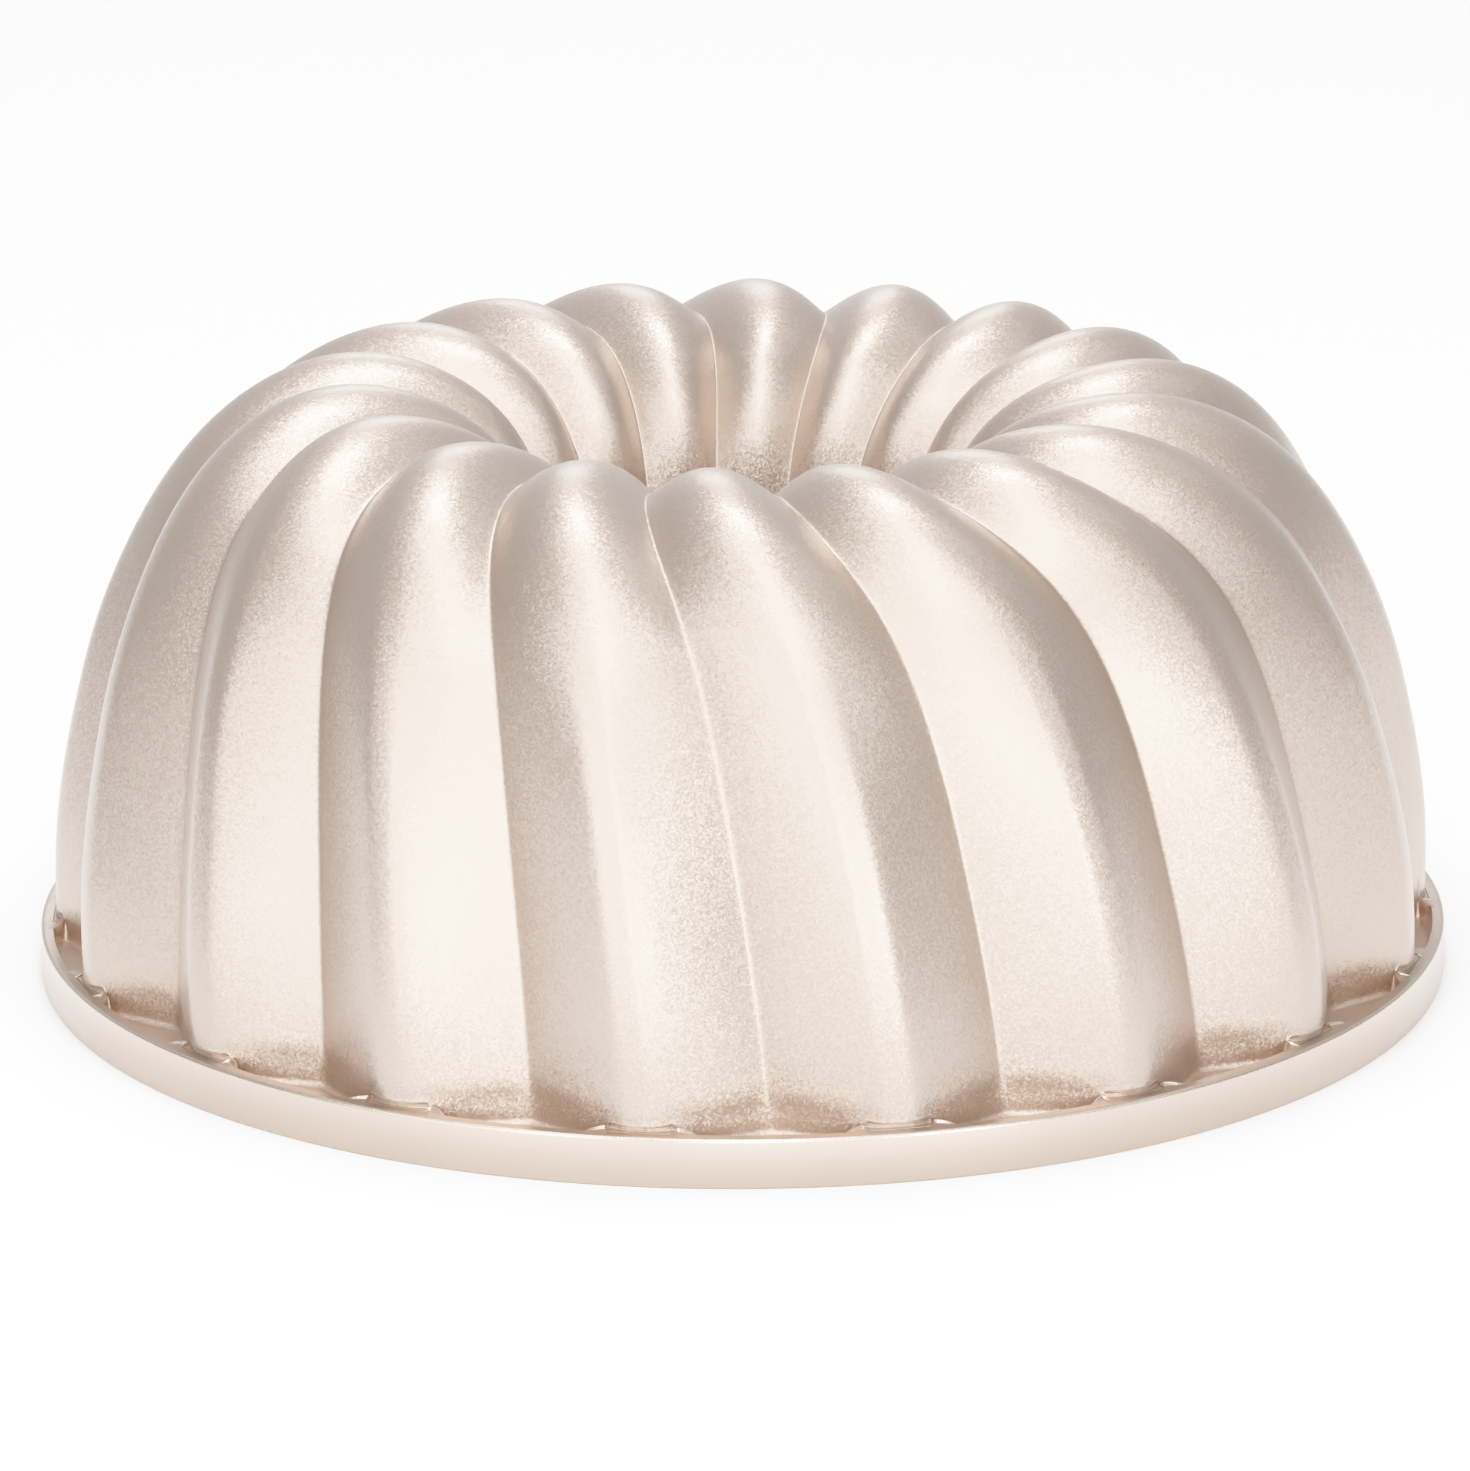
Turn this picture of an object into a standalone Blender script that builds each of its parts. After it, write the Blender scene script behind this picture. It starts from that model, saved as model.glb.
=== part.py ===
"""Fluted tube pan, standing mouth down on its rim as in the photo.

The origin is the centre of the flat rest face of the rim, and +Z runs up through the crown.
The pan is one casting. It is modelled here as the three regions of that casting: the swirl
fluted wall with its crown, the plain cone of the centre tube, and the turned rim flange.
"""
import math

import bmesh
import bpy
import numpy as np
from mathutils import Vector

MM = 0.001

# Whole object
FLUTES = 18
PITCH = 2.0 * math.pi / FLUTES
FRONT_VALLEY = -0.5 * math.pi
COLUMNS_PER_FLUTE = 8
COLUMNS = FLUTES * COLUMNS_PER_FLUTE
WALL_THICKNESS = 3.0
GAP = 0.3

# Rim flange, turned on a lathe, with a lip round the pockets between the flutes' feet
RIM_RADIUS = 125.0
RIM_HEIGHT = 8.6
RIM_EDGE_ROUND = 0.6
LIP_WIDTH = 2.4
LIP_INNER_RADIUS = RIM_RADIUS - LIP_WIDTH
POCKET_FLOOR = 5.6

# Centre tube, a plain cone below the end of the flutes
FLUTES_END_HEIGHT = 45.0
TUBE_TOP_RADIUS = 33.8
TUBE_END_RADIUS = 29.6
TUBE_END_HEIGHT = 4.0
TUBE_END_ROUND = 1.0
TUBE_STEPS = 48

# Fluted wall. Its thickened edges lean down on the batter side, which the two ends allow for.
CROWN_HEIGHT = 105.6
EDGE_LEAN = 0.35
WALL_FOOT = POCKET_FLOOR + GAP + EDGE_LEAN
WALL_END = FLUTES_END_HEIGHT + GAP + EDGE_LEAN
CREST_FOOT_RADIUS = LIP_INNER_RADIUS - GAP


def reach(share):
    """Radius between the tube's top, at nought, and the crests' feet at the lip, at one."""
    return TUBE_TOP_RADIUS + share * (CREST_FOOT_RADIUS - TUBE_TOP_RADIUS)


def lift(share):
    """Height between the table, at nought, and the top of the crown, at one."""
    return share * CROWN_HEIGHT


# The wall is a loft from the rim, over the crown and down into the hole. Each row holds the
# radius and height of the valley line, those of the crest line, and the swirl in degrees.
WALL_ROWS = (
    (reach(0.908), WALL_FOOT, CREST_FOOT_RADIUS, WALL_FOOT, 0.0),
    (reach(0.887), lift(0.237), reach(0.993), lift(0.256), -0.9),
    (reach(0.848), lift(0.441), reach(0.946), lift(0.469), -2.5),
    (reach(0.796), lift(0.633), reach(0.872), lift(0.659), -4.5),
    (reach(0.666), lift(0.842), reach(0.704), lift(0.883), -8.7),
    (reach(0.401), lift(0.948), reach(0.423), lift(1.000), -15.4),
    (reach(0.175), lift(0.889), reach(0.130), lift(0.918), -17.1),
    (reach(0.045), lift(0.729), reach(0.019), lift(0.735), -15.5),
    (reach(0.016), lift(0.550), reach(0.004), lift(0.551), -14.5),
    (TUBE_TOP_RADIUS, WALL_END, TUBE_TOP_RADIUS, WALL_END, -14.2),
)
LAST_ROW = len(WALL_ROWS) - 1
SHOULDER_ROW = 3
CROWN_ROW = 5
# Places along the rows where a ring of points is laid, closer together over the crown
RING_PLACES = (0, 1, 2, 2.5, 3, 3.5, 4, 4.5, 4.75, 5, 5.25, 5.5, 6, 6.5, 7, 7.5, 8, LAST_ROW)

# Across a flute, the wall has a flat crest between two flat flanks with softened edges. Over
# the crown it changes to a round tube between sharp valleys.
FOOT_FLAT_SHARE = 0.28
SHOULDER_FLAT_SHARE = 0.34
FOOT_SOFT_SHARE = 0.18
SHOULDER_SOFT_SHARE = 0.28
CREST_TIP_SHARE = 0.1
TUBE_STARTS_ROW = 2.5
TUBE_FULL_ROW = 4.5
CROWN_TUBE_POWER = 1.12
HOLE_TUBE_POWER = 1.0


def clear_scene():
    for item in list(bpy.data.objects):
        bpy.data.objects.remove(item, do_unlink=True)


def new_collection(name):
    collection = bpy.data.collections.new(name)
    bpy.context.scene.collection.children.link(collection)
    return collection


def material(name, colour, roughness):
    surface = bpy.data.materials.new(name)
    surface.use_nodes = True
    shader = surface.node_tree.nodes["Principled BSDF"]
    shader.inputs["Base Color"].default_value = (colour[0], colour[1], colour[2], 1.0)
    shader.inputs["Metallic"].default_value = 1.0
    shader.inputs["Roughness"].default_value = roughness
    return surface


def finish(name, mesh, collection, surface):
    thing = bpy.data.objects.new(name, mesh)
    collection.objects.link(thing)
    mesh.materials.append(surface)
    return thing


def row_bends():
    """Bend of a smooth line through the rows, at each row and for each value."""
    system = 4.0 * np.eye(LAST_ROW - 1) + np.eye(LAST_ROW - 1, k=1) + np.eye(LAST_ROW - 1, k=-1)
    inner = np.linalg.solve(system, 6.0 * np.diff(WALL_ROWS, 2, axis=0))
    return np.pad(inner, ((1, 1), (0, 0)))


ROW_BENDS = row_bends()


def wall_lines(place):
    """Valley radius and height, crest radius and height, and swirl at a place between rows."""
    start = min(int(place), LAST_ROW - 1)
    ahead = place - start
    behind = 1.0 - ahead
    return (
        behind * np.array(WALL_ROWS[start])
        + ahead * np.array(WALL_ROWS[start + 1])
        + (behind ** 3 - behind) / 6.0 * ROW_BENDS[start]
        + (ahead ** 3 - ahead) / 6.0 * ROW_BENDS[start + 1]
    )


def smooth(value):
    held = min(max(value, 0.0), 1.0)
    return held * held * (3.0 - 2.0 * held)


def angular_flute(side, edge, place):
    """Height share of a flute with a flat crest and flat flanks, its edges softened."""
    widening = min(place / SHOULDER_ROW, 1.0)
    flat_share = FOOT_FLAT_SHARE + (SHOULDER_FLAT_SHARE - FOOT_FLAT_SHARE) * widening
    soft_share = FOOT_SOFT_SHARE + (SHOULDER_SOFT_SHARE - FOOT_SOFT_SHARE) * widening

    def rounded(distance):
        climb = (edge - distance) / (edge - flat_share)
        return 0.5 * (1.0 + climb - math.hypot(1.0 - climb, soft_share))

    valley = rounded(edge)
    return (rounded(side) - valley) / (rounded(CREST_TIP_SHARE) - valley)


def tube_flute(across, place):
    """Height share of a flute that is a round tube between sharp valleys."""
    fullness = max(0.0, (place - CROWN_ROW) / (LAST_ROW - CROWN_ROW))
    power = CROWN_TUBE_POWER + (HOLE_TUBE_POWER - CROWN_TUBE_POWER) * fullness
    return (1.0 - across * across) ** power


def lobe(across, place):
    """Height share of a flute: one on the crest line, nought in the valleys at -1 and 1."""
    side = math.hypot(across, CREST_TIP_SHARE)
    edge = math.hypot(1.0, CREST_TIP_SHARE)
    angular = angular_flute(side, edge, place)
    tube = tube_flute(across, place)
    change = smooth((place - TUBE_STARTS_ROW) / (TUBE_FULL_ROW - TUBE_STARTS_ROW))
    return angular + (tube - angular) * change


def wall_point(place, column):
    """Point of the wall's visible face for a ring place and a column number."""
    valley_radius, valley_height, crest_radius, crest_height, swirl = wall_lines(place)
    flute, step = divmod(column, COLUMNS_PER_FLUTE)
    share = lobe(2.0 * step / COLUMNS_PER_FLUTE - 1.0, place)
    radius = valley_radius + share * (crest_radius - valley_radius)
    height = valley_height + share * (crest_height - valley_height)
    angle = FRONT_VALLEY + (flute + step / COLUMNS_PER_FLUTE) * PITCH + math.radians(swirl)
    return Vector((radius * math.cos(angle), radius * math.sin(angle), height)) * MM


def inset(outline, distance):
    """Closed plan outline moved inward by an even distance."""
    moved = []
    for index, point in enumerate(outline):
        before = (point - outline[index - 1]).to_2d().normalized()
        after = (outline[(index + 1) % len(outline)] - point).to_2d().normalized()
        along = (before + after).normalized()
        inward = Vector((-along.y, along.x))
        moved.append(point.to_2d() + inward * distance / along.dot(before))
    return moved


def bridge(work, rings):
    """Faces between rings of points, where each ring is closed on itself."""
    for lower, upper in zip(rings, rings[1:]):
        for index in range(len(lower)):
            ahead = (index + 1) % len(lower)
            work.faces.new((lower[index], lower[ahead], upper[ahead], upper[index]))


def mesh_from(work, name):
    mesh = bpy.data.meshes.new(name)
    work.to_mesh(mesh)
    work.free()
    return mesh


def fluted_shell(collection, surface):
    """Swirl fluted wall and crown: an open loft, thickened toward the batter side."""
    work = bmesh.new()
    rings = [
        [work.verts.new(wall_point(place, column)) for column in range(COLUMNS)]
        for place in RING_PLACES
    ]
    bridge(work, rings)
    mesh = mesh_from(work, "fluted_shell")
    mesh.shade_smooth()
    thing = finish("fluted_shell", mesh, collection, surface)
    skin = thing.modifiers.new("wall", "SOLIDIFY")
    skin.thickness = WALL_THICKNESS * MM
    skin.offset = -1.0
    skin.use_even_offset = True


def centre_tube(collection, surface):
    """Plain cone of the tube, turned about Z, with a rounded end that stays off the table."""
    top_outer = TUBE_TOP_RADIUS + WALL_THICKNESS
    end_outer = TUBE_END_RADIUS + WALL_THICKNESS
    shoulder = TUBE_END_HEIGHT + TUBE_END_ROUND
    outline = (
        (top_outer, FLUTES_END_HEIGHT),
        (end_outer, shoulder),
        (end_outer - TUBE_END_ROUND, TUBE_END_HEIGHT),
        (TUBE_END_RADIUS + TUBE_END_ROUND, TUBE_END_HEIGHT),
        (TUBE_END_RADIUS, shoulder),
        (TUBE_TOP_RADIUS, FLUTES_END_HEIGHT),
    )
    mesh = bpy.data.meshes.new("centre_tube")
    points = [Vector((radius, 0.0, height)) * MM for radius, height in outline]
    edges = [(index, (index + 1) % len(points)) for index in range(len(points))]
    mesh.from_pydata(points, edges, [])
    thing = finish("centre_tube", mesh, collection, surface)
    turn = thing.modifiers.new("turn", "SCREW")
    turn.steps = TUBE_STEPS
    turn.render_steps = TUBE_STEPS
    turn.use_merge_vertices = True
    turn.merge_threshold = 0.00001


def rim_flange(collection, surface):
    """Turned ring: flat rest face, upright outer face, lip, and pocket floor round the wall."""
    foot = [wall_point(0, column) for column in range(COLUMNS)]
    mouth = inset(foot, WALL_THICKNESS * MM)
    work = bmesh.new()
    sections = []
    for point, edge in zip(foot, mouth):
        outward = point.to_2d().normalized() * MM
        outer = outward * RIM_RADIUS
        lip = outward * LIP_INNER_RADIUS
        corners = (
            (edge, 0.0),
            (outer, 0.0),
            (outer, RIM_HEIGHT - RIM_EDGE_ROUND),
            (outward * (RIM_RADIUS - RIM_EDGE_ROUND), RIM_HEIGHT),
            (lip, RIM_HEIGHT),
            (lip, POCKET_FLOOR),
            (edge, POCKET_FLOOR),
        )
        sections.append([work.verts.new((spot.x, spot.y, height * MM)) for spot, height in corners])
    bridge(work, sections + sections[:1])
    bmesh.ops.recalc_face_normals(work, faces=work.faces)
    finish("rim_flange", mesh_from(work, "rim_flange"), collection, surface)


clear_scene()
pan = new_collection("fluted_tube_pan")
fluted_shell(pan, material("champagne_wall", (0.72, 0.58, 0.50), 0.34))
centre_tube(pan, material("champagne_cone", (0.70, 0.56, 0.48), 0.36))
rim_flange(pan, material("champagne_rim", (0.74, 0.60, 0.52), 0.30))
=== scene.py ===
"""Looks of the fluted tube pan: one satin champagne casting, mouth down on a pale floor.

The rows of the fluted wall are the CAD model's own, without the gaps between its solids. Here
they give one finer mesh with a narrower crest, and with what a casting and a lathe leave: coved
pockets between the flutes' feet, the turned shelf with its small steps and ridges, rounded edges
and a grained skin.
"""
import math

import bpy
import numpy as np
from mathutils import Matrix, Vector


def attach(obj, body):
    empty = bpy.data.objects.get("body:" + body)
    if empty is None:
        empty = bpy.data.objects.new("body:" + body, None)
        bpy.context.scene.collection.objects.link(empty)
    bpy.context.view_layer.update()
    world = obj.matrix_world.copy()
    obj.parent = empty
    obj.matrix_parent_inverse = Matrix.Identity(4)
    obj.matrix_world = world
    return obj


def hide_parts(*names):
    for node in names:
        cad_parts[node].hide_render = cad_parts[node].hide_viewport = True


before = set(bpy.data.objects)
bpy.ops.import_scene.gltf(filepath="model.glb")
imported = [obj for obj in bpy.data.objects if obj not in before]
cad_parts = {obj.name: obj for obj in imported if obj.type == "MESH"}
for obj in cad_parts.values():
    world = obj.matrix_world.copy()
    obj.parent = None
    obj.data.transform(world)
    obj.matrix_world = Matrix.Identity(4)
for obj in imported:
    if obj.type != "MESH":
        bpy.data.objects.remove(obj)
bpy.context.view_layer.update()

MM = 0.001
QUARTER_TURN = 0.5 * math.pi
WHITE = (1.0, 1.0, 1.0, 1.0)

# Whole object, as the CAD model has it, in millimetres
FLUTES = 18
PITCH = 2.0 * math.pi / FLUTES
FRONT_VALLEY = -QUARTER_TURN
WALL_THICKNESS = 3.0
RIM_RADIUS = 125.0
RIM_HEIGHT = 8.6
RIM_EDGE_ROUND = 0.6
LIP_INNER_RADIUS = 122.6
POCKET_FLOOR = 5.6
FLUTES_END_HEIGHT = 45.0
TUBE_TOP_RADIUS = 33.8
TUBE_END_RADIUS = 29.6
TUBE_END_HEIGHT = 4.0
TUBE_END_ROUND = 1.0
CROWN_HEIGHT = 105.6
WALL_FOOT = 6.25
CREST_FOOT_RADIUS = 122.3

# Edges that the CAD model leaves square
RIM_FOOT_ROUND = 0.45
MOUTH_ROUND = 0.8


def reach(share):
    """Radius between the tube's top, at nought, and the crests' feet at the lip, at one."""
    return TUBE_TOP_RADIUS + share * (CREST_FOOT_RADIUS - TUBE_TOP_RADIUS)


def lift(share):
    """Height between the table, at nought, and the top of the crown, at one."""
    return share * CROWN_HEIGHT


# Rows of the wall, from the rim over the crown into the hole: radius and height of the valley
# line, those of the crest line, and the swirl in degrees
WALL_ROWS = (
    (reach(0.908), WALL_FOOT, CREST_FOOT_RADIUS, WALL_FOOT, 0.0),
    (reach(0.887), lift(0.237), reach(0.993), lift(0.256), -0.9),
    (reach(0.848), lift(0.441), reach(0.946), lift(0.469), -2.5),
    (reach(0.796), lift(0.633), reach(0.872), lift(0.659), -4.5),
    (reach(0.666), lift(0.842), reach(0.704), lift(0.883), -8.7),
    (reach(0.401), lift(0.948), reach(0.423), lift(1.000), -15.4),
    (reach(0.175), lift(0.889), reach(0.130), lift(0.918), -17.1),
    (reach(0.045), lift(0.729), reach(0.019), lift(0.735), -15.5),
    (reach(0.016), lift(0.550), reach(0.004), lift(0.551), -14.5),
    (TUBE_TOP_RADIUS, FLUTES_END_HEIGHT, TUBE_TOP_RADIUS, FLUTES_END_HEIGHT, -14.2),
)
LAST_ROW = len(WALL_ROWS) - 1
CROWN_ROW = 5

# Across a flute, the wall has a narrow rounded crest between two flat flanks. Over the crown
# it changes to a round tube between sharp valleys. The batter side is softer all over.
CREST_FLAT_SHARE = 0.13
CREST_EDGE_SHARE = 0.06
CREST_TIP_SHARE = 0.05
TUBE_STARTS_ROW = 2.5
TUBE_FULL_ROW = 4.5
CROWN_TUBE_POWER = 1.12
HOLE_TUBE_POWER = 1.0
INSIDE_SOFTER_SHARE = 0.35
SOFTER_FILLET = 0.3

# Fillet along the bottom of each valley, wider where it runs down into the pocket
VALLEY_ROUND_SHARE = 0.017
FOOT_ROUND_SHARE = 0.07
FOOT_ROUND_PLACE = 0.30
FOOT_ROUND_FADE = 0.07

# Where the columns of the mesh lie closer: by how much, about which share across the flute,
# and how far to each side of it
COLUMN_HUMPS = ((5.0, 1.0, 0.06), (4.0, 0.32, 0.08), (2.0, 0.12, 0.08))
COLUMN_SAMPLES = 400
HALF_FLUTE_COLUMNS = 38

# Rows of the mesh, and the power that brings the outer wall's rows closer near the foot
OUTSIDE_ROWS = 96
FOOT_CLOSENESS = 1.15
INSIDE_ROWS = 44
COVE_ROWS = 6
FLOOR_ROWS = 3
ARC_ROWS = 6
RIM_FOOT_ROWS = 4
TUBE_HOLE_ROWS = 8
TUBE_BATTER_ROWS = 7
SHARP_EDGE_ANGLE = 38.0

# Pockets between the flutes' feet. A raised ridge runs beside each from the crest to the lip.
COVE_RADIUS = 1.2
LIP_COVE_RADIUS = 1.0
LIP_COVE_SHARE = 0.3
POCKET_START_ACROSS = 0.28
POCKET_FULL_ACROSS = 0.43
POCKET_EDGE_ACROSS = 0.03
POCKET_DEEP_WIDTH = 0.8
POCKET_WIDTH_POWER = 0.9
RIDGE_HEIGHT = 0.6
RIDGE_FALL_POWER = 0.5
RIDGE_WIDTH = 1.1

# Section of the ridge and the lip's inner edge: distance out from the pocket's edge, height
# over the lip, and share of the ridge's height
RIDGE_SECTION = (
    (0.05, -0.2, 1.0),
    (0.2, 0.0, 1.0),
    (0.5, 0.0, 0.9),
    (0.85, 0.0, 0.15),
    (RIDGE_WIDTH, 0.0, 0.0),
)

# Edge of the mouth: distance out from the inner wall and height, in roundings of the edge
MOUTH_SECTION = ((2.0, 0.0), (1.0, 0.0), (0.3, 0.3), (0.0, 1.0), (0.0, 4.0))

# Shelf that the lathe cut under each crest, which leaves a sharp step over it
STEP_UNDERCUT = 0.35
STEP_HEIGHT = 0.8
STEP_CORNER_RISE = 0.45
STEP_BURR = 0.16
STEP_BURR_TOP_DROP = 0.08
STEP_BURR_DROP = 0.25
STEP_BURR_FALL = 0.8
STEP_CUT_DROP = 0.2
STEP_FOOT_ROUND = 0.15

# Where the grain is coarse and the tone lighter and warmer: on the flanks and in the valleys
# just above the pockets, on the shelf, and on the lowest rows of the rim, where it meets the
# table. The lighter tone is painted light, which lifts these shaded low places.
GRIT_AND_LIGHT_TOP = 19.0
GRIT_AND_LIGHT_FULL = 10.0
GRIT_AND_LIGHT_CREST_ACROSS = 0.24
GRIT_AND_LIGHT_CREST_FADE = 0.10
SHELF_GRIT_AND_LIGHT = 0.8
RIM_GRIT_AND_LIGHT_ROWS = 3

# Where the coat is worn smoother and carries a painted highlight: the crests' steps, the ridges
# and the rim's outer edge
RIDGE_WEAR_AND_SHEEN = 0.6
RIDGE_WEAR_AND_SHEEN_POWER = 0.4
RIDGE_WEAR_AND_SHEEN_ROWS = 3
EDGE_WEAR_AND_SHEEN_ROWS = 4

# Grain of the coat: size of its cells and depth of its bumps, in millimetres, the lean of its
# flakes, what each adds to the roughness, and the tints that colours are multiplied by
GRAIN_CELL = 0.32
GRAIN_GLOSS = 0.12
GRIT_CELL = 0.7
GRIT_DEPTH = 0.007
GRIT_GLOSS = 0.06
FLAKE_CELL = 0.30
GRIT_FLAKE_TILT = 0.05
TURNED_CELL = 0.25
TURNED_STRETCH = (0.02, 0.02, 1.0)
WEAR_GLOSS = -0.08
DRIFT_CELL = 24.0
DRIFT_DARK = (0.97, 0.96, 0.955)
DRIFT_LIGHT = (1.03, 1.03, 1.03)
# Painted light: lighter, warmer tint on the grit mask, which lifts the shaded feet, shelf and
# rim foot
PAINTED_LIGHT_TINT = (1.22, 1.13, 1.06)
PAINTED_LIGHT_LEAST = 0.2
# Painted highlight: lighter, whiter tint along the crests' steps, the ridges and the rim's outer
# edge
SHEEN_TINT = (1.14, 1.16, 1.18)
CLEAR_COAT = 0.6
CLEAR_COAT_ROUGHNESS = 0.30

# Coats in the order of the mesh's material numbers: name, colour, roughness, depth of the
# grain, lean of the flakes, and depth of the lathe's lines
COAT = (0.436, 0.345, 0.288)
# Painted light: the same coat a little lighter for the turned rim, lip and mouth, so that the
# rim's face, which reflects the shaded floor near it, comes out lighter
LIGHTER_RIM_COAT = (0.460, 0.360, 0.292)
COATS = (
    ("champagne_wall", COAT, 0.42, 0.018, 0.20, 0.0),
    ("champagne_cone", COAT, 0.43, 0.018, 0.20, 0.0),
    ("champagne_rim", LIGHTER_RIM_COAT, 0.36, 0.004, 0.03, 0.003),
)
WALL_COAT, CONE_COAT, TURNED_COAT = range(len(COATS))


def row_bends():
    """Bend of a smooth line through the rows, at each row and for each value."""
    system = 4.0 * np.eye(LAST_ROW - 1) + np.eye(LAST_ROW - 1, k=1) + np.eye(LAST_ROW - 1, k=-1)
    inner = np.linalg.solve(system, 6.0 * np.diff(WALL_ROWS, 2, axis=0))
    return np.pad(inner, ((1, 1), (0, 0)))


ROW_VALUES = np.array(WALL_ROWS)
ROW_BENDS = row_bends()


def wall_lines(places):
    """Valley radius and height, crest radius and height, and swirl for each of the places."""
    start = np.minimum(places.astype(int), LAST_ROW - 1)
    ahead = (places - start)[:, None]
    behind = 1.0 - ahead
    lines = (
        behind * ROW_VALUES[start]
        + ahead * ROW_VALUES[start + 1]
        + (behind ** 3 - behind) / 6.0 * ROW_BENDS[start]
        + (ahead ** 3 - ahead) / 6.0 * ROW_BENDS[start + 1]
    )
    return lines.T


def smooth(value):
    """Soft step from nought to one."""
    held = np.clip(value, 0.0, 1.0)
    return held * held * (3.0 - 2.0 * held)


def flank_run(side, softer):
    """How far down a flank a point lies, with the crest's flat and its softened edge."""
    past_edge = np.hypot(side, CREST_TIP_SHARE) - CREST_FLAT_SHARE
    return 0.5 * (past_edge + np.hypot(past_edge, CREST_EDGE_SHARE + softer))


def gable_flute(side, softer):
    """Height share of a flute with a narrow crest between two flat flanks."""
    crest = flank_run(0.0, softer)
    valley = flank_run(1.0, softer)
    return (valley - flank_run(side, softer)) / (valley - crest)


def tube_flute(near_valley, places):
    """Height share of a flute that is a round tube between sharp valleys."""
    fullness = np.maximum(0.0, (places - CROWN_ROW) / (LAST_ROW - CROWN_ROW))
    power = CROWN_TUBE_POWER + (HOLE_TUBE_POWER - CROWN_TUBE_POWER) * fullness
    return np.maximum(0.0, 1.0 - (1.0 - near_valley) ** 2) ** power


def lobe(across, places, softer):
    """Height share of a flute: one on the crest line, nought in the valleys at -1 and 1."""
    foot = smooth((FOOT_ROUND_PLACE - places) / FOOT_ROUND_FADE)
    fillet = VALLEY_ROUND_SHARE + FOOT_ROUND_SHARE * foot + SOFTER_FILLET * softer
    near_valley = np.hypot(1.0 - np.abs(across), fillet) - fillet
    near_valley = near_valley / (np.hypot(1.0, fillet) - fillet)
    gable = gable_flute(1.0 - near_valley, softer)
    tube = tube_flute(near_valley, places)
    change = smooth((places - TUBE_STARTS_ROW) / (TUBE_FULL_ROW - TUBE_STARTS_ROW))
    return gable + (tube - gable) * change


def flute_columns():
    """Turn share of each column from the front valley, close together where the form turns."""
    side = np.linspace(1.0, 0.0, COLUMN_SAMPLES)
    closeness = np.ones_like(side)
    for more, middle, width in COLUMN_HUMPS:
        closeness += more * np.exp(-((side - middle) / width) ** 2)
    run = np.cumsum(closeness) - closeness[0]
    half = 0.5 - 0.5 * np.interp(np.linspace(0.0, run[-1], HALF_FLUTE_COLUMNS + 1), run, side)
    one = np.concatenate([half[:-1], 1.0 - half[:0:-1]])
    return np.concatenate([one + flute for flute in range(FLUTES)])


TURNS = flute_columns()
ACROSS = 2.0 * (TURNS % 1.0) - 1.0
EVEN = np.ones_like(TURNS)


def wall_points(places, softer=0.0):
    """Wall surface for one place per column, as radius, height and angle."""
    valley_radius, valley_height, crest_radius, crest_height, swirl = wall_lines(places)
    share = lobe(ACROSS, places, softer)
    radius = valley_radius + share * (crest_radius - valley_radius)
    height = valley_height + share * (crest_height - valley_height)
    angle = FRONT_VALLEY + TURNS * PITCH + np.radians(swirl)
    return radius, height, angle


def cartesian(radius, height, angle):
    """One row of points, one per column."""
    return np.stack([radius * np.cos(angle), radius * np.sin(angle), height * EVEN], axis=-1)


def open_share():
    """One where a column ends in a pocket, nought where it ends on the crest's step."""
    return smooth((np.abs(ACROSS) - POCKET_START_ACROSS) / POCKET_EDGE_ACROSS + 1.0)


def ridge_run():
    """Way along the ridge: nought at the crest's corner, one where it meets the lip."""
    run = (np.abs(ACROSS) - POCKET_START_ACROSS) / (POCKET_FULL_ACROSS - POCKET_START_ACROSS)
    return np.clip(run, 0.0, 1.0)


def place_at(height):
    """Place along the wall, between its first two rows, at which it reaches a height."""
    first_height = WALL_ROWS[0][1]
    second_height = WALL_ROWS[1][1]
    return (height - first_height) / (second_height - first_height)


def pocket_width():
    """Radial width of the pocket at each column, from the wall to the ridge or the lip."""
    radius, _, _ = wall_points(place_at(RIM_HEIGHT) * EVEN)
    return (LIP_INNER_RADIUS - radius) * ridge_run() ** POCKET_WIDTH_POWER


def pocket_depth():
    """Depth of the pocket under the lip at each column."""
    return (RIM_HEIGHT - POCKET_FLOOR) * smooth(pocket_width() / POCKET_DEEP_WIDTH)


def cove_radius():
    """Radius of the cove between the wall and the pocket's floor."""
    return np.minimum(COVE_RADIUS, 0.5 * pocket_width())


def foot_place():
    """Place where the wall ends at each column: above the pocket's cove, or on the step."""
    corner = np.minimum(np.abs(ACROSS) / POCKET_START_ACROSS, 1.0)
    step_top = RIM_HEIGHT + STEP_HEIGHT + STEP_CORNER_RISE * corner ** 2
    cove_top = RIM_HEIGHT - pocket_depth() + cove_radius()
    return place_at(step_top + (cove_top - step_top) * open_share())


def wall_places():
    """Places of the outer wall's rows, from its foot to the end of the flutes in the hole."""
    start = foot_place()
    shares = np.linspace(0.0, 1.0, OUTSIDE_ROWS) ** FOOT_CLOSENESS
    return [start + (LAST_ROW - start) * share for share in shares]


def outside_rows():
    """Outer wall from just above its foot over the crown to the end of the flutes."""
    return [cartesian(*wall_points(places)) for places in wall_places()]


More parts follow.
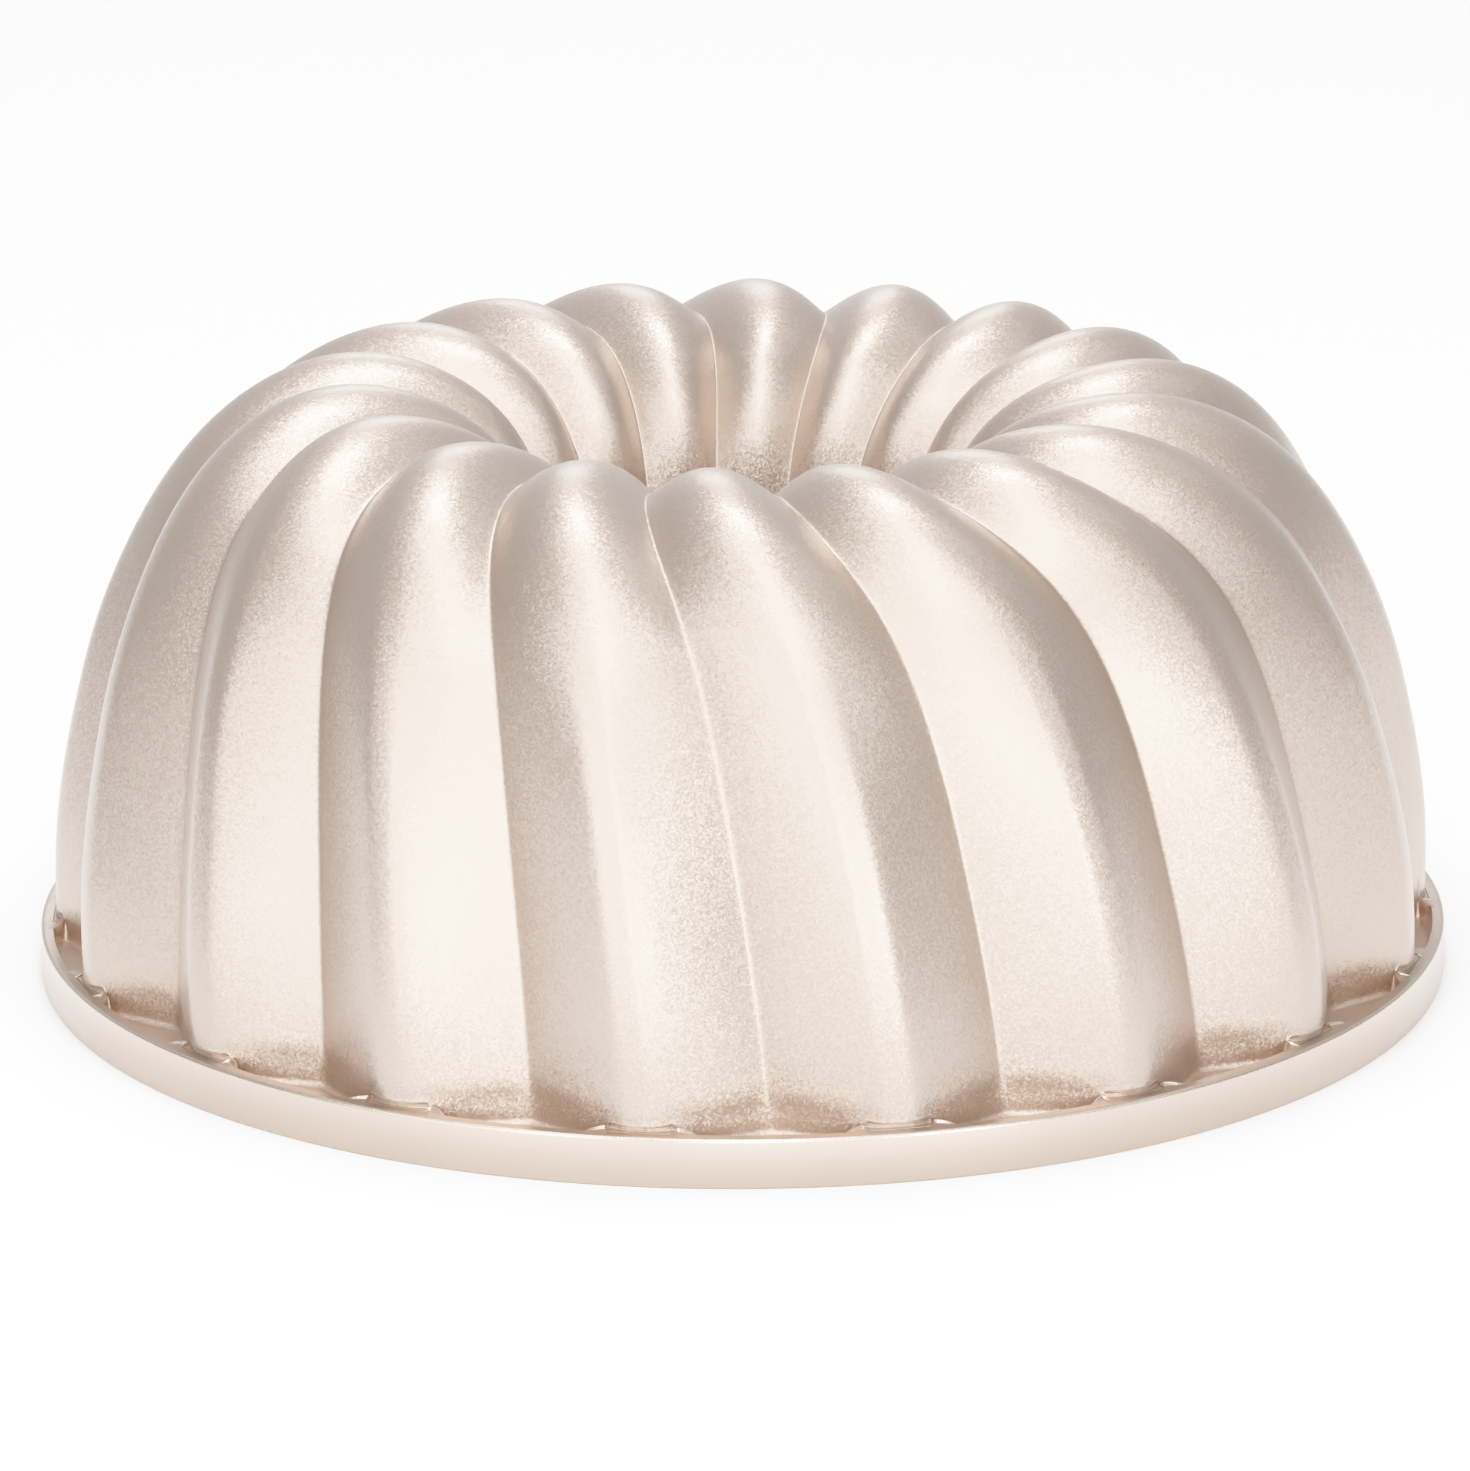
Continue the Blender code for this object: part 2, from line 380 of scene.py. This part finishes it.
def pocket_section(wall_radius, wall_height):
    """From the wall's foot down the cove, across the pocket's floor and up to its edge."""
    floor = RIM_HEIGHT - pocket_depth()
    cove = cove_radius()
    lip = wall_radius + pocket_width()
    lip_cove = np.minimum(LIP_COVE_RADIUS, LIP_COVE_SHARE * pocket_width())
    section = []
    for turn in np.linspace(0.0, QUARTER_TURN, COVE_ROWS):
        section.append((
            wall_radius + cove * (1.0 - math.cos(turn)),
            floor + (wall_height - floor) * (1.0 - math.sin(turn)),
        ))
    floor_width = lip - lip_cove - wall_radius - cove
    for share in np.linspace(0.0, 1.0, FLOOR_ROWS + 2)[1:-1]:
        section.append((wall_radius + cove + floor_width * share, floor))
    for turn in np.linspace(0.0, QUARTER_TURN, ARC_ROWS):
        section.append((
            lip - lip_cove * (1.0 - math.sin(turn)),
            floor + np.minimum(lip_cove, RIM_HEIGHT - floor) * (1.0 - math.cos(turn)),
        ))
    return section


def step_section(wall_radius, wall_height, count):
    """From the crest's foot over its burr, down the undercut step and across the shelf."""
    turned = wall_radius - STEP_UNDERCUT
    shelf = turned + STEP_FOOT_ROUND
    section = [
        (wall_radius, wall_height),
        (wall_radius + STEP_BURR, wall_height - STEP_BURR_TOP_DROP),
        (wall_radius + STEP_BURR_FALL * STEP_BURR, wall_height - STEP_BURR_DROP),
        (turned, RIM_HEIGHT + STEP_HEIGHT - STEP_CUT_DROP),
        (turned, RIM_HEIGHT + STEP_FOOT_ROUND),
        (shelf, RIM_HEIGHT * EVEN),
    ]
    for share in np.linspace(0.0, 1.0, count - len(section) + 1)[1:]:
        section.append((shelf + (LIP_INNER_RADIUS - shelf) * share, RIM_HEIGHT * EVEN))
    return section


def pocket_rows():
    """From the wall's foot to the lip: across a pocket, or over a step where a crest ends."""
    wall_radius, wall_height, angle = wall_points(foot_place())
    pocket = pocket_section(wall_radius, wall_height)
    step = step_section(wall_radius, wall_height, len(pocket))
    rows = []
    for (pocket_radius, pocket_height), (step_radius, step_height) in zip(pocket, step):
        radius = step_radius + (pocket_radius - step_radius) * open_share()
        height = step_height + (pocket_height - step_height) * open_share()
        rows.append(cartesian(radius, height, angle))
    return rows[1:]


def lip_rows():
    """Top of the lip from the pocket's edge to the rounded outer edge, then down the rim."""
    wall_radius, _, angle = wall_points(foot_place())
    ridge = RIDGE_HEIGHT * open_share() * (1.0 - ridge_run()) ** RIDGE_FALL_POWER
    lip = LIP_INNER_RADIUS + (wall_radius + pocket_width() - LIP_INNER_RADIUS) * open_share()
    rows = [
        cartesian(lip + out, RIM_HEIGHT + rise + share * ridge, angle)
        for out, rise, share in RIDGE_SECTION
    ]
    flat_end = RIM_RADIUS - RIM_EDGE_ROUND
    rows.append(cartesian(0.5 * (lip + RIDGE_WIDTH + flat_end), RIM_HEIGHT * EVEN, angle))
    for turn in np.linspace(0.0, QUARTER_TURN, ARC_ROWS):
        rows.append(cartesian(
            (flat_end + RIM_EDGE_ROUND * math.sin(turn)) * EVEN,
            RIM_HEIGHT - RIM_EDGE_ROUND * (1.0 - math.cos(turn)),
            angle,
        ))
    rows.append(cartesian(RIM_RADIUS * EVEN, 0.5 * RIM_HEIGHT, angle))
    for turn in np.linspace(0.0, QUARTER_TURN, RIM_FOOT_ROWS):
        rows.append(cartesian(
            (RIM_RADIUS - RIM_FOOT_ROUND * (1.0 - math.cos(turn))) * EVEN,
            RIM_FOOT_ROUND * (1.0 - math.sin(turn)),
            angle,
        ))
    return rows


def inside_rows():
    """Batter side: the softened wall moved in by its thickness, from the mouth to the tube."""
    places = np.linspace(0.0, LAST_ROW, INSIDE_ROWS)
    grid = np.stack([
        cartesian(*wall_points(place * EVEN, INSIDE_SOFTER_SHARE)) for place in places
    ])
    along = np.gradient(grid, axis=0)
    around = np.roll(grid, -1, axis=1) - np.roll(grid, 1, axis=1)
    normal = np.cross(around, along)
    normal /= np.linalg.norm(normal, axis=-1, keepdims=True)
    return list(grid - WALL_THICKNESS * normal)


def mouth_rows(first_inside):
    """Edge of the mouth: rest face, rounded corner and the plain inner wall up to the flutes."""
    radius = np.hypot(first_inside[:, 0], first_inside[:, 1])
    angle = np.arctan2(first_inside[:, 1], first_inside[:, 0])
    return [
        cartesian(radius + out * MOUTH_ROUND, rise * MOUTH_ROUND, angle)
        for out, rise in MOUTH_SECTION
    ]


def tube_rows():
    """Plain cone: down the hole's side, round the end, and up the batter side."""
    _, _, angle = wall_points(LAST_ROW * EVEN)
    shoulder = TUBE_END_HEIGHT + TUBE_END_ROUND
    narrowing = TUBE_END_RADIUS - TUBE_TOP_RADIUS
    rows = []
    for share in np.linspace(0.0, 1.0, TUBE_HOLE_ROWS)[1:]:
        rows.append(cartesian(
            (TUBE_TOP_RADIUS + narrowing * share) * EVEN,
            FLUTES_END_HEIGHT + (shoulder - FLUTES_END_HEIGHT) * share,
            angle,
        ))
    hole_side = TUBE_END_RADIUS + TUBE_END_ROUND
    batter_side = TUBE_END_RADIUS + WALL_THICKNESS - TUBE_END_ROUND
    down = 3.0 * QUARTER_TURN
    for centre, turns in (
        (hole_side, np.linspace(down - QUARTER_TURN, down, ARC_ROWS)[1:]),
        (batter_side, np.linspace(down, down + QUARTER_TURN, ARC_ROWS)),
    ):
        for turn in turns:
            rows.append(cartesian(
                (centre + TUBE_END_ROUND * math.cos(turn)) * EVEN,
                shoulder + TUBE_END_ROUND * math.sin(turn),
                angle,
            ))
    for share in np.linspace(0.0, 1.0, TUBE_BATTER_ROWS)[1:-1]:
        rows.append(cartesian(
            (TUBE_END_RADIUS - narrowing * share + WALL_THICKNESS) * EVEN,
            shoulder + (FLUTES_END_HEIGHT - shoulder) * share,
            angle,
        ))
    return rows


def skin_shares(plain_count, lip_count, pocket_count):
    """Grit with painted light and wear with painted highlight of each point, row by row in the
    order of the whole section.
    """
    wall_height = np.stack([wall_points(places)[1] for places in wall_places()])
    off_crest = smooth((np.abs(ACROSS) - GRIT_AND_LIGHT_CREST_ACROSS) / GRIT_AND_LIGHT_CREST_FADE)
    wall_grit_and_light = smooth((GRIT_AND_LIGHT_TOP - wall_height) / (GRIT_AND_LIGHT_TOP - GRIT_AND_LIGHT_FULL)) * off_crest
    wall_wear_and_sheen = np.zeros_like(wall_height)
    wall_wear_and_sheen[0] = 1.0 - open_share()
    plain = np.zeros((plain_count, len(TURNS)))
    # the lip's rows are numbered from its inner edge, past the ridge and the rim's round edge
    lip_grit_and_light = np.zeros((lip_count, len(TURNS)))
    lip_wear_and_sheen = np.zeros_like(lip_grit_and_light)
    edge_end = len(RIDGE_SECTION) + 1 + ARC_ROWS
    lip_grit_and_light[-RIM_GRIT_AND_LIGHT_ROWS:] = 1.0
    along_ridge = open_share() * (1.0 - ridge_run()) ** RIDGE_WEAR_AND_SHEEN_POWER
    lip_wear_and_sheen[1:1 + RIDGE_WEAR_AND_SHEEN_ROWS] = RIDGE_WEAR_AND_SHEEN * along_ridge
    lip_wear_and_sheen[edge_end - EDGE_WEAR_AND_SHEEN_ROWS:edge_end] = 1.0
    pocket_grit_and_light = np.full((pocket_count, len(TURNS)), SHELF_GRIT_AND_LIGHT)
    grit_and_painted_light = np.concatenate([wall_grit_and_light, plain, lip_grit_and_light[::-1], pocket_grit_and_light])
    wear_and_sheen = np.concatenate([wall_wear_and_sheen, plain, lip_wear_and_sheen[::-1], np.zeros_like(pocket_grit_and_light)])
    return grit_and_painted_light, wear_and_sheen


def build_pan():
    """Closed mesh of the whole casting: rows run round the section, columns round the axis."""
    wall = outside_rows()
    pocket = pocket_rows()
    lip = lip_rows()
    inside = inside_rows()
    mouth = mouth_rows(inside[0])
    tube = tube_rows()
    # wall up and into the hole, tube, batter side back to the mouth, rim, lip, pocket
    rows = wall + tube + inside[::-1] + mouth[::-1] + lip[::-1] + pocket[::-1]
    grid = np.stack(rows) * MM
    row_count, column_count, _ = grid.shape
    index = np.arange(row_count * column_count).reshape(row_count, column_count)
    above = np.roll(index, -1, axis=0)
    quads = np.stack([
        index, np.roll(index, -1, axis=1), np.roll(above, -1, axis=1), above
    ], axis=-1).reshape(-1, 4)
    mesh = bpy.data.meshes.new("pan_casting")
    mesh.from_pydata(grid.reshape(-1, 3).tolist(), [], quads.tolist())
    mesh.update()
    coats = [WALL_COAT] * len(wall) + [CONE_COAT] * len(tube) + [WALL_COAT] * len(inside)
    coats += [TURNED_COAT] * (len(mouth) + len(lip)) + [WALL_COAT] * len(pocket)
    mesh.polygons.foreach_set("material_index", np.repeat(coats, column_count).astype(np.int32))
    shares = skin_shares(len(tube) + len(inside) + len(mouth), len(lip), len(pocket))
    for name, values in zip(("grit_and_painted_light", "wear_and_sheen"), shares):
        layer = mesh.attributes.new(name, "FLOAT", "POINT")
        layer.data.foreach_set("value", values.ravel().astype(np.float32))
    mesh.shade_smooth()
    mesh.set_sharp_from_angle(angle=math.radians(SHARP_EDGE_ANGLE))
    pan = bpy.data.objects.new("pan_casting", mesh)
    bpy.context.scene.collection.objects.link(pan)
    return pan


class Wiring:
    """Short calls for the nodes of one material or of the world."""

    def __init__(self, owner):
        owner.use_nodes = True
        self.nodes = owner.node_tree.nodes
        self.links = owner.node_tree.links

    def join(self, value, socket):
        """Links an output to a socket, or sets a plain number on it."""
        if isinstance(value, bpy.types.NodeSocket):
            self.links.new(value, socket)
        else:
            socket.default_value = value

    def coordinates(self, kind):
        """Coordinates of the shaded point, of the kind that the node's output names."""
        return self.nodes.new("ShaderNodeTexCoord").outputs[kind]

    def noise(self, place, cell, detail):
        """Smooth random value whose cells are as wide as given, in millimetres."""
        node = self.nodes.new("ShaderNodeTexNoise")
        node.inputs["Scale"].default_value = 1.0 / (cell * MM)
        node.inputs["Detail"].default_value = detail
        self.links.new(place, node.inputs["Vector"])
        return node.outputs["Fac"]

    def flakes(self, place, cell):
        """A random vector for each small cell."""
        node = self.nodes.new("ShaderNodeTexVoronoi")
        node.inputs["Scale"].default_value = 1.0 / (cell * MM)
        self.links.new(place, node.inputs["Vector"])
        return node.outputs["Color"]

    def calculate(self, operation, first, second, third=0.0):
        node = self.nodes.new("ShaderNodeMath")
        node.operation = operation
        for value, socket in zip((first, second, third), node.inputs):
            self.join(value, socket)
        return node.outputs["Value"]

    def vector(self, operation, first, second):
        node = self.nodes.new("ShaderNodeVectorMath")
        node.operation = operation
        self.join(first, node.inputs[0])
        if operation == "SCALE":
            self.join(second, node.inputs["Scale"])
        else:
            self.join(second, node.inputs[1])
        return node.outputs["Vector"]

    def length(self, place):
        node = self.nodes.new("ShaderNodeVectorMath")
        node.operation = "LENGTH"
        self.links.new(place, node.inputs[0])
        return node.outputs["Value"]

    def ramp(self, value, start, end, most):
        """Soft rise from nought at the start to the most at the end."""
        node = self.nodes.new("ShaderNodeMapRange")
        node.interpolation_type = "SMOOTHSTEP"
        node.inputs["From Min"].default_value = start
        node.inputs["From Max"].default_value = end
        node.inputs["To Max"].default_value = most
        self.links.new(value, node.inputs["Value"])
        return node.outputs["Result"]

    def blend(self, factor, first, second):
        node = self.nodes.new("ShaderNodeMix")
        node.data_type = "RGBA"
        self.join(factor, node.inputs["Factor"])
        self.join(first, node.inputs["A"])
        self.join(second, node.inputs["B"])
        return node.outputs["Result"]

    def share(self, name):
        """Value that the mesh holds for each point under a name."""
        node = self.nodes.new("ShaderNodeAttribute")
        node.attribute_name = name
        return node.outputs["Fac"]


def shade_of(colour, tint):
    return (*[part * change for part, change in zip(colour, tint)], 1.0)


def champagne(name, colour, roughness, grain_depth, flake_tilt, turned_depth):
    """Satin metal coat: orange-peel grain, flakes, gritty feet lifted by painted light, worn
    edges with a painted highlight, and slight drift.
    """
    surface = bpy.data.materials.new(name)
    wiring = Wiring(surface)
    shader = wiring.nodes["Principled BSDF"]
    shader.inputs["Metallic"].default_value = 1.0
    shader.inputs["Coat Weight"].default_value = CLEAR_COAT
    shader.inputs["Coat Roughness"].default_value = CLEAR_COAT_ROUGHNESS
    place = wiring.coordinates("Object")
    grit_and_painted_light = wiring.share("grit_and_painted_light")
    wear_and_sheen = wiring.share("wear_and_sheen")

    fine = wiring.noise(place, GRAIN_CELL, detail=2.0)
    coarse = wiring.noise(place, GRIT_CELL, detail=1.0)
    drift = wiring.noise(place, DRIFT_CELL, detail=2.0)
    height = wiring.calculate("MULTIPLY", fine, grain_depth)
    coarse_depth = wiring.calculate("MULTIPLY", grit_and_painted_light, GRIT_DEPTH)
    height = wiring.calculate("MULTIPLY_ADD", coarse, coarse_depth, height)
    if turned_depth:
        upright = wiring.vector("MULTIPLY", place, TURNED_STRETCH)
        lines = wiring.noise(upright, TURNED_CELL, detail=1.0)
        height = wiring.calculate("MULTIPLY_ADD", lines, turned_depth, height)

    lean = wiring.vector("SUBTRACT", wiring.flakes(place, FLAKE_CELL), (0.5, 0.5, 0.5))
    tilt = wiring.calculate("MULTIPLY_ADD", grit_and_painted_light, GRIT_FLAKE_TILT, flake_tilt)
    lean = wiring.vector("SCALE", lean, tilt)
    facing = wiring.nodes.new("ShaderNodeNewGeometry").outputs["Normal"]
    bump = wiring.nodes.new("ShaderNodeBump")
    bump.inputs["Distance"].default_value = MM
    wiring.links.new(height, bump.inputs["Height"])
    wiring.links.new(wiring.vector("ADD", facing, lean), bump.inputs["Normal"])
    wiring.links.new(bump.outputs["Normal"], shader.inputs["Normal"])

    base = wiring.blend(drift, shade_of(colour, DRIFT_DARK), shade_of(colour, DRIFT_LIGHT))
    # painted light: a lighter, warmer tint where the grit mask lies, patchy with the coarse
    # grain
    painted_light_share = wiring.calculate("MULTIPLY_ADD", coarse, 1.0 - PAINTED_LIGHT_LEAST, PAINTED_LIGHT_LEAST)
    painted_light_share = wiring.calculate("MULTIPLY", painted_light_share, grit_and_painted_light)
    base = wiring.blend(painted_light_share, base, shade_of(colour, PAINTED_LIGHT_TINT))
    # painted highlight: a lighter, whiter tint along the worn edges
    base = wiring.blend(wear_and_sheen, base, shade_of(colour, SHEEN_TINT))
    wiring.links.new(base, shader.inputs["Base Color"])

    even_roughness = roughness - 0.5 * GRAIN_GLOSS
    gloss = wiring.calculate("MULTIPLY_ADD", fine, GRAIN_GLOSS, even_roughness)
    gloss = wiring.calculate("MULTIPLY_ADD", grit_and_painted_light, GRIT_GLOSS, gloss)
    gloss = wiring.calculate("MULTIPLY_ADD", wear_and_sheen, WEAR_GLOSS, gloss)
    wiring.links.new(gloss, shader.inputs["Roughness"])
    return surface


# Floor, in metres. Its glow is given in millimetres from the pan's axis: none below the inner
# radius and all of it beyond the outer one. The fade paints a shadow round the rim, in which the
# rim's own shadow also shows.
FLOOR_SIZE = 12.0
FLOOR_PAINT = (0.86, 0.86, 0.87, 1.0)
FLOOR_ROUGHNESS = 0.9
FLOOR_GLOW = 0.46
FLOOR_DARK_RADIUS = RIM_RADIUS - 4.0
FLOOR_GLOW_RADIUS = 150.0


def add_floor():
    """White floor with a glow of its own, which fades near the rim as a painted shadow."""
    bpy.ops.mesh.primitive_plane_add(size=FLOOR_SIZE, location=(0.0, 0.0, 0.0))
    floor = bpy.context.object
    floor.name = "pale_floor"
    paint = bpy.data.materials.new("pale_floor")
    wiring = Wiring(paint)
    shader = wiring.nodes["Principled BSDF"]
    shader.inputs["Base Color"].default_value = FLOOR_PAINT
    shader.inputs["Roughness"].default_value = FLOOR_ROUGHNESS
    shader.inputs["Emission Color"].default_value = WHITE
    distance = wiring.length(wiring.coordinates("Object"))
    # painted shadow: the glow fades towards the rim
    glow = wiring.ramp(distance, FLOOR_DARK_RADIUS * MM, FLOOR_GLOW_RADIUS * MM, FLOOR_GLOW)
    wiring.links.new(glow, shader.inputs["Emission Strength"])
    floor.data.materials.append(paint)


# Studio, in metres and watts. Soft boxes: azimuth from the front, positive to the right,
# elevation and power
SOFT_BOX_SIZE = 0.45
SOFT_BOX_DISTANCE = 1.6
SOFT_BOX_AIM = Vector((0.0, 0.0, 0.05))
SOFT_BOXES = (
    ("low_right", 30.0, 6.0, 10.1),
    ("low_front", 0.0, 6.0, 8.4),
    ("low_left", -30.0, 6.0, 5.1),
    ("low_far_left", -45.0, 6.0, 2.6),
    ("side_left", -60.0, 28.0, 4.4),
    ("front_left", -32.0, 28.0, 5.4),
    ("front_middle", 0.0, 28.0, 5.6),
    ("front_right", 30.0, 28.0, 4.2),
    ("side_right", 62.0, 28.0, 2.0),
    ("high_right", 40.0, 52.0, 4.5),
    ("high_front", 0.0, 52.0, 8.2),
    ("top_front", 0.0, 76.0, 7.5),
    ("high_left", -40.0, 52.0, 4.4),
    ("back", 180.0, 28.0, 3.6),
    ("back_right", 120.0, 52.0, 1.0),
    ("top_back", 180.0, 72.0, 14.0),
    ("top_left", -90.0, 72.0, 3.7),
)


def outward(azimuth, elevation):
    """Direction out from the pan, by its azimuth and elevation in degrees."""
    turn = math.radians(azimuth)
    rise = math.radians(elevation)
    level = math.cos(rise)
    return Vector((math.sin(turn) * level, -math.cos(turn) * level, math.sin(rise)))


def add_soft_box(name, azimuth, elevation, power):
    """Area light aimed at the middle of the pan."""
    data = bpy.data.lights.new(name, "AREA")
    data.shape = "SQUARE"
    data.size = SOFT_BOX_SIZE
    data.energy = power
    light = bpy.data.objects.new(name, data)
    out = outward(azimuth, elevation)
    light.location = SOFT_BOX_AIM + out * SOFT_BOX_DISTANCE
    light.rotation_euler = (-out).to_track_quat("-Z", "Y").to_euler()
    light.visible_camera = False
    bpy.context.scene.collection.objects.link(light)


# Brightness of the white room, and how much of it is missing at its left and right walls
WORLD_GLOW = 1.22
WORLD_SIDE_LOSS = 0.45


def add_world():
    """White room whose walls are dimmer to the left and right of the pan."""
    world = bpy.data.worlds.new("studio")
    wiring = Wiring(world)
    direction = wiring.nodes.new("ShaderNodeSeparateXYZ")
    wiring.links.new(wiring.coordinates("Generated"), direction.inputs["Vector"])
    sideways = wiring.calculate("MULTIPLY", direction.outputs["X"], direction.outputs["X"])
    strength = wiring.calculate("MULTIPLY_ADD", sideways, -WORLD_SIDE_LOSS, WORLD_GLOW)
    background = wiring.nodes["Background"]
    background.inputs["Color"].default_value = WHITE
    wiring.links.new(strength, background.inputs["Strength"])
    bpy.context.scene.world = world


# Soft shoulder of the photograph's tones: the brightness that comes out fully white, the
# number of steps in the curve, the power that brings them closer in the dark tones, and the
# number of the curve that red, green and blue share
FILM_WHITE = 3.0
FILM_POINTS = 12
FILM_CLOSENESS = 1.5
COMBINED_CURVE = 3


def film_tone(share):
    return (1.0 - math.exp(-FILM_WHITE * share)) / (1.0 - math.exp(-FILM_WHITE))


def set_film():
    """Tone curve that rolls off toward white as the photograph does."""
    view = bpy.context.scene.view_settings
    view.view_transform = "Standard"
    view.use_curve_mapping = True
    mapping = view.curve_mapping
    mapping.white_level = (FILM_WHITE, FILM_WHITE, FILM_WHITE)
    curve = mapping.curves[COMBINED_CURVE]
    for step in range(1, FILM_POINTS):
        share = (step / FILM_POINTS) ** FILM_CLOSENESS
        curve.points.new(share, film_tone(share))
    mapping.update()


# Camera of the photograph: a long lens from the front, a little above the crown. Angles are in
# degrees, lens and sensor in millimetres, distance and aim in metres.
CAMERA_AZIMUTH = -2.13
CAMERA_ELEVATION = 16.79
CAMERA_ROLL = 0.27
CAMERA_DISTANCE = 1.289
CAMERA_LENS = 177.6
CAMERA_SENSOR = 36.0
CAMERA_AIM = Vector((-0.0012, 0.0, 0.0395))


def add_camera():
    data = bpy.data.cameras.new("photo_camera")
    data.lens = CAMERA_LENS
    data.sensor_width = CAMERA_SENSOR
    camera = bpy.data.objects.new("photo_camera", data)
    out = outward(CAMERA_AZIMUTH, CAMERA_ELEVATION)
    camera.location = CAMERA_AIM + out * CAMERA_DISTANCE
    look = (-out).to_track_quat("-Z", "Y").to_matrix()
    roll = Matrix.Rotation(-math.radians(CAMERA_ROLL), 3, "Z")
    camera.rotation_euler = (look @ roll).to_euler()
    bpy.context.scene.collection.objects.link(camera)
    bpy.context.scene.camera = camera


pan = build_pan()
for coat in COATS:
    pan.data.materials.append(champagne(*coat))
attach(pan, "root")
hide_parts("fluted_shell", "centre_tube", "rim_flange")

add_floor()
add_world()
for soft_box in SOFT_BOXES:
    add_soft_box(*soft_box)
add_camera()
set_film()
